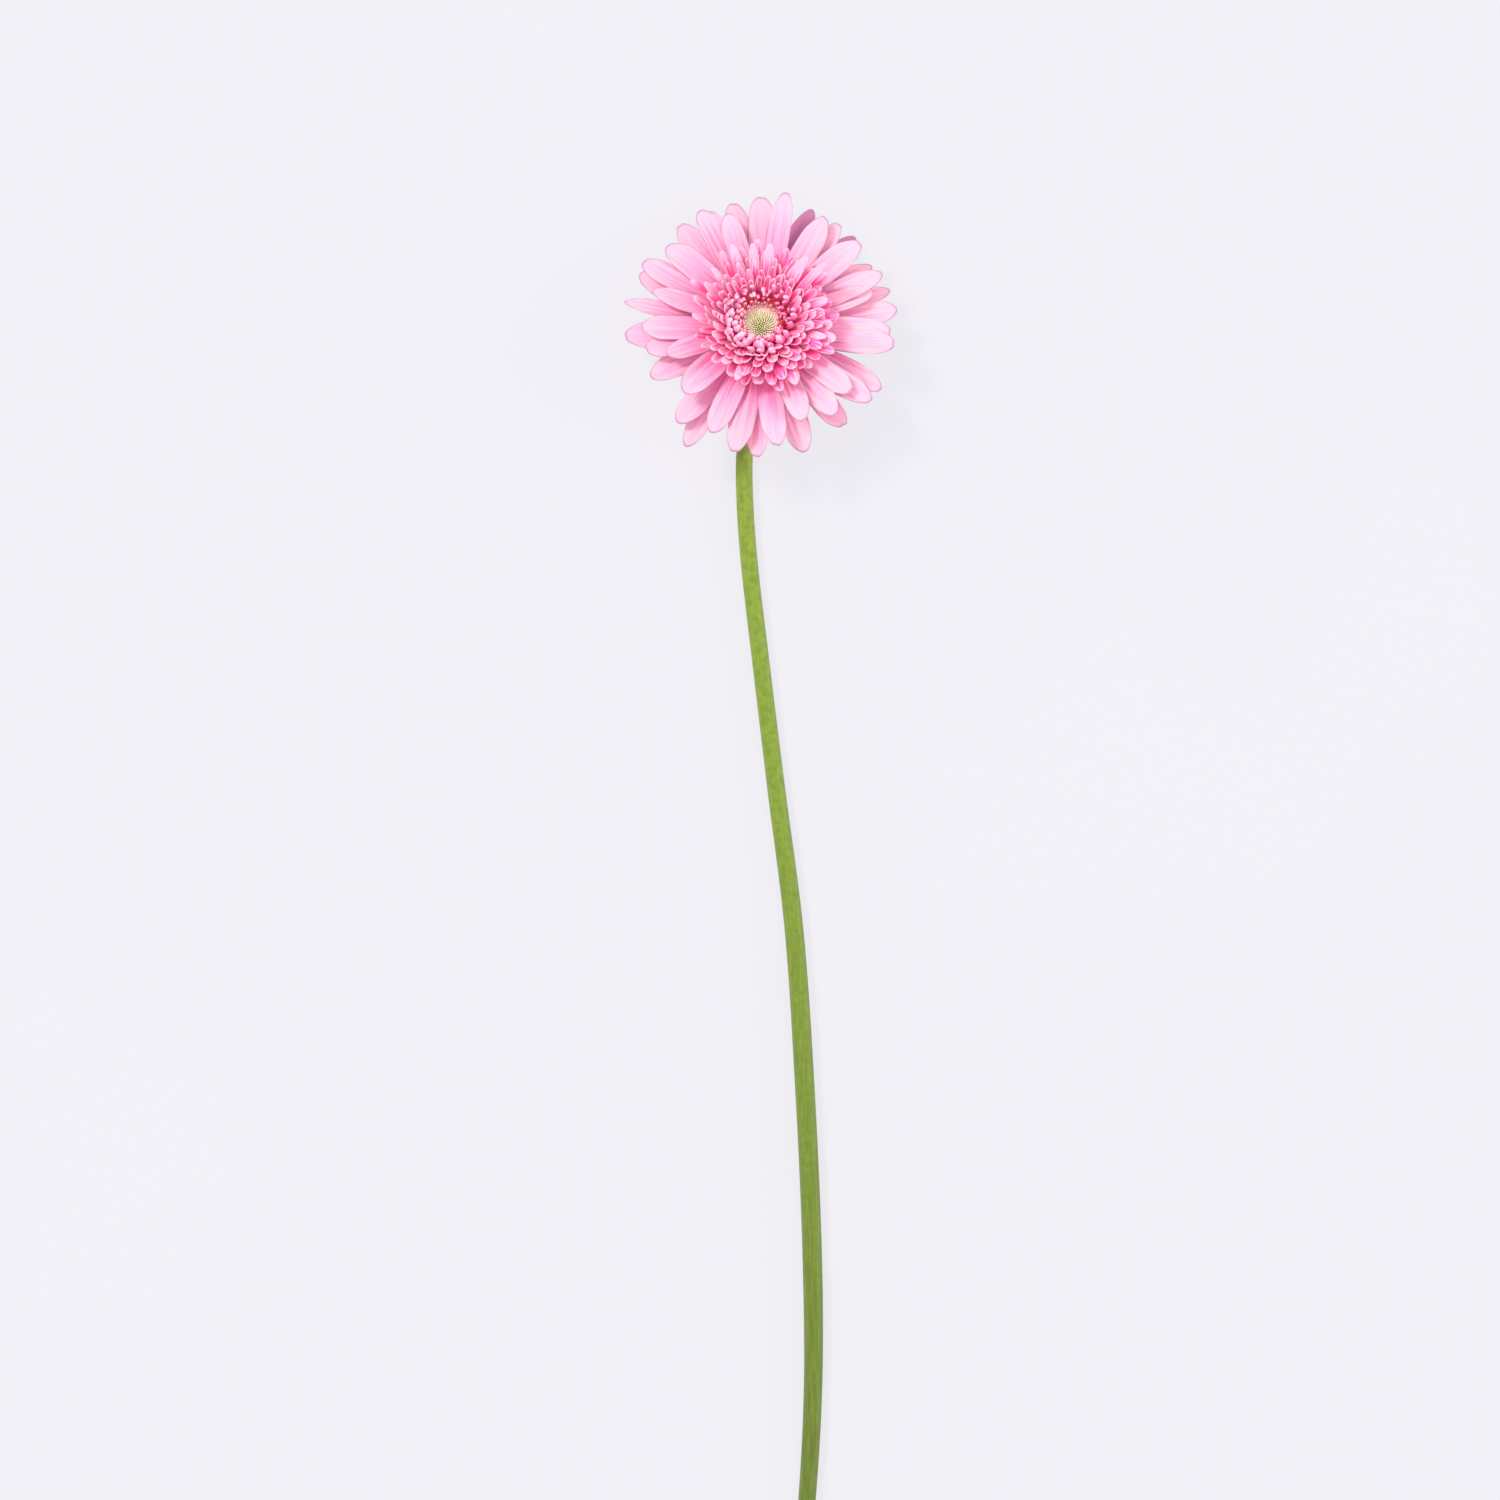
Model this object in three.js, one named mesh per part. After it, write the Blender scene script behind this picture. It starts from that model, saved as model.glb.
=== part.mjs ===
// A cut gerbera laid on its back on a flat surface: one semi-double flower head, tipped a little
// away from facing straight up, on a leafless stem whose neck bends up into it.
// Millimetres, +Z up. The stem runs towards -Y. The surface is the plane z = 0.

import * as THREE from 'three';

// ---- Driving dimensions ------------------------------------------------------------------

const HEAD_TILT = 17;             // degrees between the flower's axis and straight up, towards +Y
const NECK_TOP = 13.3;            // the stem's top end, below the plane where the petals start
const NECK_STRAIGHT = 1.5;        // of the stem, straight below the head before it bends
const NECK_BEND = 11.5;           // radius of the stem's centre line where it turns up
const CUT_SLANT = 0.8;            // how far the slanted cut runs back for each unit of height

// The stem's gentle bow where it lies: how far right of the flower's middle, and how far below it.
const BOW = [
  [-3.2, -24], [-5.4, -38], [-6.2, -56], [-4.6, -84], [0.0, -124], [5.6, -170],
  [12.4, -224], [16.5, -284], [19.1, -342], [19.6, -390], [17.6, -432], [13.0, -480],
];

// The stem's radius at shares of its length from the neck to the cut.
const STEM_GIRTH = [[0, 4.0], [0.02, 3.1], [0.3, 3.3], [0.56, 3.7], [0.74, 3.7], [1, 3.1]];

const RIM_RADIUS = 11.2;          // of the receptacle, where the ray petals stand
const PETAL_THICKNESS = 0.55;
const FLORET_THICKNESS = 0.5;

// Ray petals stand in five levels round the rim: level 0 is the one nearest the flower's face.
const LEVEL_STEP = 1.15;          // down the rim from one level to the next
const LEVEL_DROP = 4.5;           // degrees further back that each level lies than the one before
const TOP_LEVEL = { height: -0.5, start: 21, finish: -2 };

// Each ray petal: clock angle in degrees from +X towards +Y, reach from the flower's axis,
// greatest width, level, and any droop in degrees beyond its level's own.
const RAYS = [
  [89, 50, 10.4, 1], [79, 51, 8.6, 0], [70, 53, 10, 4, 0.2], [59.5, 47.5, 10, 0],
  [54, 50, 9.2, 2], [48, 53, 9.4, 4, 3.1], [42, 49, 10.4, 1], [39, 39, 8.6, 0],
  [32, 49, 9, 3], [24, 49.5, 9.6, 2], [18, 44, 9, 1], [21, 51, 9, 4],
  [9, 51, 10.6, 3], [-2, 48, 10.4, 1], [-9, 50, 10.6, 2], [-24, 49, 8.6, 4],
  [-30, 46, 8, 3], [-37, 50, 10.4, 2], [-37.5, 42.5, 9.4, 0], [-50, 47.5, 9.6, 3],
  [-51.5, 45, 10.2, 1], [-66, 41.5, 9.4, 0], [-71, 49, 10.4, 3], [-83, 48.5, 10, 1],
  [-92, 48.5, 9.4, 3], [-100, 49, 10, 2], [-113, 44.5, 9.6, 1], [-124, 51, 9, 4],
  [-130, 47, 10, 2], [-138, 40, 11, 0], [-158, 44.5, 9.8, 3], [-168, 43.5, 9.6, 2],
  [-164, 36.5, 8.6, 0], [-178, 44.5, 9.6, 1], [179, 50.5, 11, 4], [170, 51.5, 6.4, 2],
  [163, 42, 8, 0], [156, 49.5, 10.6, 3], [149.5, 50, 9.8, 1], [137, 46, 10.4, 0],
  [127.5, 50, 10, 2], [118, 50, 8.6, 1], [113, 52.5, 9.6, 4, 0.7], [107, 44, 9, 0],
  [102, 49.5, 9.8, 2],
];

// Whorls of shorter florets inside the rays, outermost first. Each is its name, the radius and height
// where its common foot stands, the rise of a floret in degrees at its foot and at its tip, a
// floret's length, how many share the whorl and how much their lengths differ.
const WHORLS = [
  ['trans_florets_1', 10.6, 1.2, 50, 22, 19, 24, 0.08],
  ['trans_florets_2', 9.8, 1.8, 58, 32, 17.5, 25, 0.08],
  ['trans_florets_3', 9.0, 2.3, 65, 42, 15, 24, 0.08],
  ['trans_florets_4', 8.2, 2.7, 72, 54, 12.5, 22, 0.08],
  ['inner_florets_1', 7.4, 3.1, 80, 66, 9.5, 20, 0.1],
  ['inner_florets_2', 6.6, 3.5, 86, 78, 6, 18, 0.1],
];

// Whorls of bracts that wrap the receptacle from below, outermost and shortest first, in the same
// terms.
const BRACTS = [
  ['outer_bracts', 5.4, -14.2, 14, 24, 6.4, 13, 0.1],
  ['middle_bracts', 7.4, -12.6, 36, 14, 7.8, 14, 0.08],
  ['inner_bracts', 8.5, -10.8, 40, 6, 9.0, 15, 0.06],
];

// Profiles turned about the flower's axis, as radius and height.
const RECEPTACLE = [
  [0, -13], [4.0, -13], [5.9, -12.2], [7.6, -10.6], [9.4, -8.4], [10.6, -6.6], [RIM_RADIUS, -5.2],
  [RIM_RADIUS, 0.3], [9.6, 1.3], [8.8, 1.75], [7.6, 2.5], [6.2, 3.0], [0, 3.1],
];
const DISC = [[0, 3.45], [5.6, 3.45], [5.9, 4.0], [4.9, 5.0], [2.8, 5.6], [0, 5.8]];

const LOOKS = {
  stem: { color: 0x8fa846, roughness: 0.75 },
  bracts: { color: 0x6f8f3c, roughness: 0.8 },
  rays: { color: 0xfcb4d4, roughness: 0.6 },
  trans: { color: 0xf77fb0, roughness: 0.6 },
  inner: { color: 0xf3a0ae, roughness: 0.65 },
  disc: { color: 0xd6d38c, roughness: 0.8 },
};

// ---- Shape helpers -----------------------------------------------------------------------

const radians = THREE.MathUtils.degToRad;

// Moves every vertex of a geometry by place(point), which changes the point it is given.
function reshape(geometry, place) {
  const position = geometry.getAttribute('position');
  const point = new THREE.Vector3();
  for (let i = 0; i < position.count; i++) {
    place(point.fromBufferAttribute(position, i));
    position.setXYZ(i, point.x, point.y, point.z);
  }
  return geometry;
}

// Reads a list of [place, value] pairs as straight lines between its places.
function along(pairs, place) {
  const next = Math.max(1, pairs.findIndex((pair) => pair[0] >= place));
  const [before, after] = [pairs[next - 1], pairs[next]];
  return THREE.MathUtils.mapLinear(place, before[0], after[0], before[1], after[1]);
}

// A floret's middle line, an arc in the plane of the flower's axis: share 0 is its foot and 1 its
// tip. Gives the distance from the axis, the height, and the direction in which its face looks.
function middleLine({ radius, height, start, finish, length }, share) {
  const first = radians(start);
  const turn = radians(finish - start);
  const now = first + turn * share;
  return {
    out: radius + (length / turn) * (Math.sin(now) - Math.sin(first)),
    up: height + (length / turn) * (Math.cos(first) - Math.cos(now)),
    faceOut: -Math.sin(now),
    faceUp: Math.cos(now),
  };
}

// A ray petal's width along its length, as a share of the greatest: a narrow claw at the foot,
// sides that open slowly, and a round tip.
function rayOutline(share) {
  const claw = 0.36;
  const shoulder = 0.6;
  const footRound = Math.min(1, Math.sqrt(share / 0.04));
  const widening = claw + (1 - claw) * THREE.MathUtils.smoothstep(share, 0, 0.58);
  const tip = Math.max(0, (share - shoulder) / (1 - shoulder));
  return footRound * widening * Math.sqrt(1 - tip ** 2.6);
}

// One ray petal: a ball whose poles become the foot and the tip, flattened and then bent.
function rayGeometry([clock, reach, width, level, droop = 0]) {
  const radius = RIM_RADIUS + 0.55 + 0.12 * level;
  const height = TOP_LEVEL.height - LEVEL_STEP * level;
  const start = TOP_LEVEL.start - LEVEL_DROP * level - droop;
  const finish = TOP_LEVEL.finish - LEVEL_DROP * level - 2 * droop;
  const spread = (Math.sin(radians(finish)) - Math.sin(radians(start))) / radians(finish - start);
  const length = (reach - radius) / spread;
  const camber = 0.075 * width;
  const petal = reshape(new THREE.SphereGeometry(1, 6, 8), (p) => {
    const share = THREE.MathUtils.clamp((1 + p.y) / 2, 0, 1);
    const ring = Math.max(1e-4, Math.sqrt(Math.max(0, 1 - p.y * p.y)));
    const edge = rayOutline(share);
    const across = (p.x / ring) * edge;
    const lift = (p.z / ring) * edge * (PETAL_THICKNESS / 2) - camber * across * across;
    const line = middleLine({ radius, height, start, finish, length }, share);
    p.set((across * width) / 2, line.out + lift * line.faceOut, line.up + lift * line.faceUp);
  });
  return petal.rotateZ(radians(clock - 90));
}

// A whorl of florets or bracts that share one collar at the foot: a thin ring whose far edge is
// cut into straps. Each strap has three columns of vertices, and the first is the notch before it.
function whorlGeometry([radius, height, start, finish, length, count, uneven]) {
  const collar = 0.26;
  const sector = (2 * Math.PI) / count;
  const section = [[1.1, 0], [1.1, 0.5], [1.1, 1], [0.9, 1], [0.9, 0.5], [0.9, 0], [1.1, 0]];
  const profile = section.map(([ring, share]) => new THREE.Vector2(ring, share));
  const columns = 3 * count;
  return reshape(new THREE.LatheGeometry(profile, columns), (p) => {
    const turn = (Math.atan2(p.x, p.z) / (2 * Math.PI) + 1) % 1;
    const index = Math.round(turn * columns) % columns;
    const strap = Math.floor(index / 3);
    const column = index % 3;
    const size = 1 + uneven * Math.sin(7.3 * strap);
    const share = column === 0 ? p.y * collar : p.y * size;
    const angle = (strap + [0, 0.18, 0.82][column]) * sector;
    const line = middleLine({ radius, height, start, finish, length }, share);
    const lift = Math.hypot(p.x, p.z) > 1 ? -FLORET_THICKNESS / 2 : FLORET_THICKNESS / 2;
    const out = line.out + lift * line.faceOut;
    p.set(out * Math.cos(angle), out * Math.sin(angle), line.up + lift * line.faceUp);
  });
}

// A solid turned about the flower's axis.
function turned(profile, segments) {
  const points = profile.map(([radius, height]) => new THREE.Vector2(radius, height));
  return new THREE.LatheGeometry(points, segments).rotateX(Math.PI / 2);
}

// ---- Where the head stands -----------------------------------------------------------------

const tilt = radians(HEAD_TILT);
const neckRadius = along(STEM_GIRTH, 0.02);
const neckRise = NECK_BEND * (1 - Math.sin(tilt));
const headHeight = neckRadius + neckRise + (NECK_TOP + NECK_STRAIGHT) * Math.cos(tilt);
const headPlace = new THREE.Matrix4().makeRotationX(-tilt).setPosition(0, 0, headHeight);

// ---- The stem --------------------------------------------------------------------------------

// The centre line: down out of the head, round the bend at the neck, then along the surface.
function stemRoute() {
  const top = new THREE.Vector3(0, 0, -NECK_TOP).applyMatrix4(headPlace);
  const neck = new THREE.Vector3(0, 0, -NECK_TOP - NECK_STRAIGHT).applyMatrix4(headPlace);
  const points = [top];
  for (const share of [0, 0.2, 0.4, 0.6, 0.8, 1]) {
    const slope = THREE.MathUtils.lerp(tilt, Math.PI / 2, share);
    const back = NECK_BEND * (Math.cos(tilt) - Math.cos(slope));
    const down = NECK_BEND * (Math.sin(slope) - Math.sin(tilt));
    points.push(new THREE.Vector3(-1.4 * share * share, neck.y - back, neck.z - down));
  }
  for (const [x, y] of BOW) {
    points.push(new THREE.Vector3(x, y, neckRadius));
  }
  return new THREE.CatmullRomCurve3(points, false, 'centripetal');
}

// A capped rod bent along the route. Its steps crowd together round the neck.
function stemGeometry() {
  const route = stemRoute();
  route.arcLengthDivisions = 2000;
  const sideways = new THREE.Vector3(1, 0, 0);
  const steps = 44;
  const neckSteps = 9;
  const neckEnd = 0.05;
  return reshape(new THREE.CylinderGeometry(1, 1, 1, 10, steps), (p) => {
    const step = Math.round((0.5 - p.y) * steps);
    const share = step < neckSteps
      ? (step / neckSteps) * neckEnd
      : neckEnd + ((step - neckSteps) / (steps - neckSteps)) * (1 - neckEnd);
    const girth = along(STEM_GIRTH, share);
    const centre = route.getPointAt(share);
    const forward = route.getTangentAt(share);
    const side = sideways.clone().addScaledVector(forward, -sideways.dot(forward)).normalize();
    const upper = new THREE.Vector3().crossVectors(side, forward).negate();
    if (share > neckEnd) {
      centre.z = girth;
    }
    const slant = step === steps ? CUT_SLANT * p.z * girth : 0;
    const [right, rise] = [p.x * girth, p.z * girth];
    p.copy(centre).addScaledVector(side, right).addScaledVector(upper, rise);
    p.addScaledVector(forward, slant);
  });
}

// ---- The whole flower --------------------------------------------------------------------------

const group = new THREE.Group();

function add(name, geometry, look) {
  const mesh = new THREE.Mesh(geometry, new THREE.MeshStandardMaterial({ ...look, metalness: 0 }));
  mesh.name = name;
  group.add(mesh);
}

function addToHead(name, geometry, look) {
  add(name, geometry.applyMatrix4(headPlace), look);
}

add('stem', stemGeometry(), LOOKS.stem);
addToHead('receptacle', turned(RECEPTACLE, 24), LOOKS.bracts);
for (const [name, ...shape] of BRACTS) {
  addToHead(name, whorlGeometry(shape), LOOKS.bracts);
}
RAYS.forEach((ray, i) => {
  addToHead(`ray_petal_${String(i + 1).padStart(2, '0')}`, rayGeometry(ray), LOOKS.rays);
});
for (const [name, ...shape] of WHORLS) {
  addToHead(name, whorlGeometry(shape), LOOKS[name.split('_')[0]]);
}
addToHead('disc_florets', turned(DISC, 20), LOOKS.disc);

// The origin is the middle of the flower's box, on the surface.
const box = new THREE.Box3().setFromObject(group);
const middle = box.getCenter(new THREE.Vector3());
for (const mesh of group.children) {
  mesh.geometry.translate(-middle.x, -middle.y, -box.min.z);
}

export default group;
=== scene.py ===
"""A cut gerbera that lies on its back on a pale table.

Laid out as an add-on and run as a script: each operator in the Gerbera panel grows one part of the
flower over the frame that holds its places. Lengths in the tables are millimetres.
"""

import math
import random

import bmesh
import bpy
from bpy.props import FloatProperty, FloatVectorProperty, IntProperty, PointerProperty
from mathutils import Matrix, Vector
from mathutils.geometry import interpolate_bezier


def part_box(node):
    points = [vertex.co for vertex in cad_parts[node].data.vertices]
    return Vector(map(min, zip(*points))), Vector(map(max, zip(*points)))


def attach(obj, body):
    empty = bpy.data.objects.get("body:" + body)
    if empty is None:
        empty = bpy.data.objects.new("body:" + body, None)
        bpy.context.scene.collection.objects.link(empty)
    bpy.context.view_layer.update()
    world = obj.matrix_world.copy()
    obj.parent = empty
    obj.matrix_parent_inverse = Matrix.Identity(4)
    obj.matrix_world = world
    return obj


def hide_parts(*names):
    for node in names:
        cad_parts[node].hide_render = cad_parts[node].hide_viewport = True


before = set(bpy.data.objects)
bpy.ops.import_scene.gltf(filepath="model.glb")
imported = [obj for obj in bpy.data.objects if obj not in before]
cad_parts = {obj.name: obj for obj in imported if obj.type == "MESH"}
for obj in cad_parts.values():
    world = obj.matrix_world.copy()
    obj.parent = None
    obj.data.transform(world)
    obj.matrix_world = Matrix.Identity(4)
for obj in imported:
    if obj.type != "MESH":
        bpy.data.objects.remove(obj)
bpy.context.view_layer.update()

bl_info = {
    "name": "Cut gerbera",
    "version": (1, 0, 0),
    "blender": (4, 5, 0),
    "location": "View3D > Sidebar > Gerbera",
    "description": "Grows a cut gerbera with ray petals, curled florets, bracts and stem",
    "category": "Object",
}

MM = 0.001

# ---- Tables of the flower's growth ----

# Ray petals: distance of their feet from the axis, rise at the foot and at the tip in degrees, how
# much lower each level stands and how many degrees flatter it lies, and the width of a narrow one.
RAY_FOOT = 11.0
RAY_START = 21
RAY_FINISH = -2
LEVEL_STEP = 1.15
LEVEL_DROP = 4.5
NARROW_RAY = 8.2

# Each ray petal: clock angle in degrees from +X towards +Y, reach from the flower's axis, greatest
# width, level below the flower's face, and any droop in degrees beyond its level's own.
RAYS = [
    (89, 50, 10.4, 1, 0), (79, 51, 8.6, 0, 0), (70, 53, 10, 4, 0.2), (59.5, 47.5, 10, 0, 0),
    (54, 50, 9.2, 2, 0), (48, 53, 9.4, 4, 3.1), (42, 49, 10.4, 1, 0), (39, 39, 8.6, 0, 0),
    (32, 49, 9, 3, 0), (24, 49.5, 9.6, 2, 0), (18, 44, 9, 1, 0), (21, 51, 9, 4, 0),
    (9, 51, 10.6, 3, 0), (-2, 48, 10.4, 1, 0), (-9, 50, 10.6, 2, 0), (-24, 49, 8.6, 4, 0),
    (-30, 46, 8, 3, 0), (-37, 50, 10.4, 2, 0), (-37.5, 42.5, 9.4, 0, 0), (-50, 47.5, 9.6, 3, 0),
    (-51.5, 45, 10.2, 1, 0), (-66, 41.5, 9.4, 0, 0), (-71, 49, 10.4, 3, 0), (-83, 48.5, 10, 1, 0),
    (-92, 48.5, 9.4, 3, 0), (-100, 49, 10, 2, 0), (-113, 44.5, 9.6, 1, 0), (-124, 51, 9, 4, 0),
    (-130, 47, 10, 2, 0), (-138, 40, 11, 0, 0), (-158, 44.5, 9.8, 3, 0), (-168, 43.5, 9.6, 2, 0),
    (-164, 36.5, 8.6, 0, 0), (-178, 44.5, 9.6, 1, 0), (179, 50.5, 11, 4, 0), (170, 51.5, 6.4, 2, 0),
    (163, 42, 8, 0, 0), (156, 49.5, 10.6, 3, 0), (149.5, 50, 9.8, 1, 0), (137, 46, 10.4, 0, 0),
    (127.5, 50, 10, 2, 0), (118, 50, 8.6, 1, 0), (113, 52.5, 9.6, 4, 0.7), (107, 44, 9, 0, 0),
    (102, 49.5, 9.8, 2, 0),
]

# Ray petals by clock angle that are folded along their middle, and how far in degrees.
FOLDS = {
    32: 52, 24: 44, 18: 56, 39: 34, -30: 40, -66: 36, 107: 38, 137: 34, 118: 44, -138: 46, 163: 50,
    156: 36, -168: 34, -113: 30,
}

# Rows of short florets inside the rays: foot radius and height, rise at the foot and at the tip in
# degrees, length, how many, greatest width, how far a floret's sides roll up, and how far its tip
# hooks inwards. Rows of one piece stand in each other's gaps.
TRANS_ROWS = {
    "trans_florets_1": [
        (10.9, 0.4, 46, 20, 20.5, 24, 4.1, 24, 10),
        (10.6, 0.6, 51, 25, 20, 25, 4.0, 28, 12),
    ],
    "trans_florets_2": [
        (10.1, 0.9, 55, 30, 18.8, 25, 3.8, 34, 14),
        (9.8, 1.1, 58, 35, 17.8, 25, 3.6, 40, 18),
    ],
    "trans_florets_3": [
        (9.3, 1.4, 62, 40, 16.2, 24, 3.4, 46, 26),
        (9.0, 1.6, 65, 45, 15, 24, 3.2, 54, 36),
    ],
    "trans_florets_4": [(8.7, 1.7, 66, 51, 13.8, 24, 2.9, 62, 60)],
}

# A few longer, paler florets stand up among the outermost: clock angle, share of the whole row's
# length, and share of its width.
LONG_FLORETS = [
    (113, 1.12, 1.0), (97, 1.05, 0.95), (82, 1.0, 0.9), (53, 0.95, 1.2), (38, 1.2, 0.9),
    (-20, 0.92, 0.9), (-109, 1.0, 0.95), (150, 0.95, 0.8),
]

# Rows of closed florets nearer the eye, hooded or still in bud: foot radius and height, rise at the
# foot and at the tip, length, how many, width, and how far the tip nods inwards.
HOODED_ROWS = {
    "trans_florets_4": [(8.4, 1.9, 68, 58, 12.8, 21, 2.7, 85)],
    "inner_florets_1": [(8.0, 2.2, 72, 65, 11.4, 21, 2.5, 95), (7.6, 2.4, 77, 71, 9.9, 21, 2.3, 80)],
    "inner_florets_2": [
        (7.2, 2.6, 79, 80, 8.3, 21, 2.1, 50),
        (6.6, 2.8, 83, 86, 7.0, 21, 1.8, 20),
        (6.1, 3.0, 84, 91, 5.2, 26, 1.3, 0),
    ],
}
ANTHER_ROW = (7.3, 2.8, 80, 86, 8.9, 48, 1.1, 0)

# Bracts under the flower, in the same terms as the short florets.
BRACT_ROWS = {
    "outer_bracts": [(4.7, -12.9, 12, 30, 6.6, 11, 3.3, 25, 0), (4.9, -12.6, 16, 34, 7.2, 11, 3.3, 25, 0)],
    "middle_bracts": [(6.4, -11.8, 28, 26, 8.2, 13, 3.6, 25, 0), (6.6, -11.5, 32, 30, 8.6, 13, 3.6, 25, 0)],
    "inner_bracts": [(8.1, -9.9, 36, 16, 9.0, 14, 3.9, 25, 0), (8.4, -9.6, 40, 18, 9.2, 14, 3.9, 25, 0)],
}

RECEPTACLE = [
    (4.0, -13.4), (4.4, -12.9), (5.9, -12.2), (7.6, -10.6), (9.4, -8.4), (10.6, -6.6), (11.2, -5.2),
    (11.2, -1.2), (10.9, 0.2), (9.6, 1.3), (8.8, 1.75), (7.6, 2.5), (6.2, 3.0),
]

# Columns and rows of the flat grid that each kind of petal is bent from.
RAY_GRID = (20, 34)
TRANS_GRID = (8, 18)
LONG_GRID = (10, 20)
BRACT_GRID = (6, 14)

# The dome of closed buds: its radius, the height of its rim and how much higher its middle stands.
EYE_RADIUS = 6.3
EYE_RIM = 2.9
EYE_RISE = 1.1
BUD_LEAN = 0.75

# The stem where it lies, right of the flower's middle and along it, then its radius at shares of
# its length from the neck to the cut.
BOW = [
    (-3.2, -24), (-5.4, -38), (-6.2, -56), (-4.6, -84), (0.0, -124), (5.6, -170),
    (12.4, -224), (16.5, -284), (19.1, -342), (19.6, -390), (17.6, -432), (13.0, -480),
]
STEM_GIRTH = [(0, 4.0), (0.02, 3.1), (0.3, 3.3), (0.56, 3.7), (0.74, 3.7), (1, 3.1)]
NECK_TOP = 13.3
NECK_STRAIGHT = 1.5
NECK_BEND = 11.5
CUT_SLANT = 0.8
STEM_SIDES = 28
STEM_RIDGES = 7
RIDGE_DEPTH = 0.012

# The receptacle's box is tilted with the head, so its middle is this far from the head's.
HEAD_FROM_BOX = Vector((0, 0.72, 4.46))

# What the camera looks at: left of the flower's eye, and down the stem from it.
EYE_HEIGHT = 5.5
VIEW_LEFT = 4.0
VIEW_DOWN = 157.3
SENSOR = 36

# Where each light stands and how wide it spreads in degrees; the table's half width in metres.
KEY_FROM, KEY_SPREAD = Vector((-0.62, 0.56, 1.0)), 14
RIM_FROM, RIM_SPREAD = Vector((1.0, 0.05, 0.36)), 30
TABLE_HALF = 4


# ---- Settings ----


def tint(code):
    """A colour in linear light from its six-digit web code."""
    parts = [int(code[i : i + 2], 16) / 255 for i in (0, 2, 4)]
    return [p / 12.92 if p <= 0.04045 else ((p + 0.055) / 1.055) ** 2.4 for p in parts]


def colour(name, description, code):
    return FloatVectorProperty(
        name=name, description=description, subtype="COLOR", size=3, min=0, max=1, default=tint(code)
    )


def length_setting(name, description, value):
    return FloatProperty(name=name, description=description, default=value * MM, unit="LENGTH")


def angle_setting(name, description, value):
    default = math.radians(value)
    return FloatProperty(name=name, description=description, default=default, subtype="ANGLE")


class GerberaSizes(bpy.types.PropertyGroup):
    head_tilt: angle_setting(
        "Head tilt", "Angle between the flower's axis and straight up", 17
    )
    petal_thickness: length_setting("Petal thickness", "Thickness of a ray petal", 0.35)
    floret_thickness: length_setting("Floret thickness", "Thickness of the short florets and the bracts", 0.4)
    groove_depth: length_setting("Groove depth", "Depth of the long grooves in a ray petal", 0.33)
    bud_count: IntProperty(
        name="Buds", description="Closed buds in the eye of the flower", default=250, min=10
    )
    seed: IntProperty(
        name="Seed", description="Chooses how petals differ from one another", default=11
    )


class GerberaColours(bpy.types.PropertyGroup):
    ray_foot: colour("Ray foot", "Ray petals where they leave the rim", "FA62A8")
    ray_middle: colour("Ray middle", "Ray petals half way along", "FDAECC")
    ray_tip: colour("Ray tip", "Ray petals at the tip", "FFC2CE")
    ray_line_and_painted_shadow: colour("Ray edge and painted shadow", "The thin line round a ray petal, partly painted contact shadow, and its fine veins", "A478A0")
    ray_back: colour("Ray back", "The undersides of the ray petals", "F4A6CC")
    ray_painted_shade: colour("Lowest rays, painted shade", "Painted shade over the whole face of the lowest-level ray petals at the upper right", "B97597")
    trans_foot: colour("Trans foot", "Trans florets at the foot", "FA2884")
    trans_middle: colour("Trans middle", "Trans florets half way along", "FC6CAC")
    trans_tip: colour("Trans tip", "Trans florets at the tip", "FEC0D8")
    inner_foot: colour("Inner foot", "Inner florets deep in the crown", "EA1C5C")
    inner_middle: colour("Inner middle", "Inner florets half way along", "FC92C2")
    inner_tip: colour("Inner tip", "Inner florets at the tip", "FFCBDC")
    anther: colour("Anthers", "The small anthers between the inner florets", "DE3E1C")
    eye: colour("Eye", "Closed buds in the eye", "F3EFD8")
    eye_middle: colour("Eye middle", "Closed buds at the very middle", "F6F8C8")
    stem_top: colour("Stem at the neck", "Stem below the flower", "80992A")
    stem_low: colour("Stem low down", "Stem towards the cut", "55670C")
    bract: colour("Bracts", "Bracts under the flower", "6F8E3A")
    bract_tip: colour("Bract tips", "Tips of the bracts", "8A6A52")
    pith: colour("Pith", "Inside of the cut stem", "D9E2B0")


class GerberaStage(bpy.types.PropertyGroup):
    floor: colour("Floor", "Table that the flower lies on", "F4F3F8")
    frame_width: length_setting("Frame width", "Width of the view in the plane of the flower's face", 551.4)
    look_past: angle_setting(
        "Look past vertical", "How far the camera leans from straight above towards the flower's face", 2
    )
    lens: FloatProperty(name="Lens", description="Focal length of the camera", default=200)
    glow: FloatProperty(
        name="Table glow",
        description="Light that the table gives off, which thins the shadows on it",
        default=0.82,
    )
    sky: FloatProperty(name="Sky", description="Strength of the even light", default=0.95)
    key: FloatProperty(name="Key", description="Strength of the soft key light", default=1.92)
    rim: FloatProperty(name="Rim", description="Strength of the low light on the right", default=1.3)


# ---- Small helpers ----


def smoothstep(value, low, high):
    share = min(1, max(0, (value - low) / (high - low)))
    return share * share * (3 - 2 * share)


def along(pairs, place):
    """Reads a list of (place, value) pairs as straight lines between its places."""
    for (start, first), (end, second) in zip(pairs, pairs[1:]):
        if place <= end:
            return first + (second - first) * (place - start) / (end - start)
    return pairs[-1][1]


def head_place():
    """The matrix from the flower's own space, where its axis is +Z, to the table."""
    low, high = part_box("receptacle")
    centre = (low + high) / 2 + HEAD_FROM_BOX * MM
    tilt = bpy.context.scene.gerbera_sizes.head_tilt
    return Matrix.Translation(centre) @ Matrix.Rotation(-tilt, 4, "X")


LINE_STEPS = 24


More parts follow.
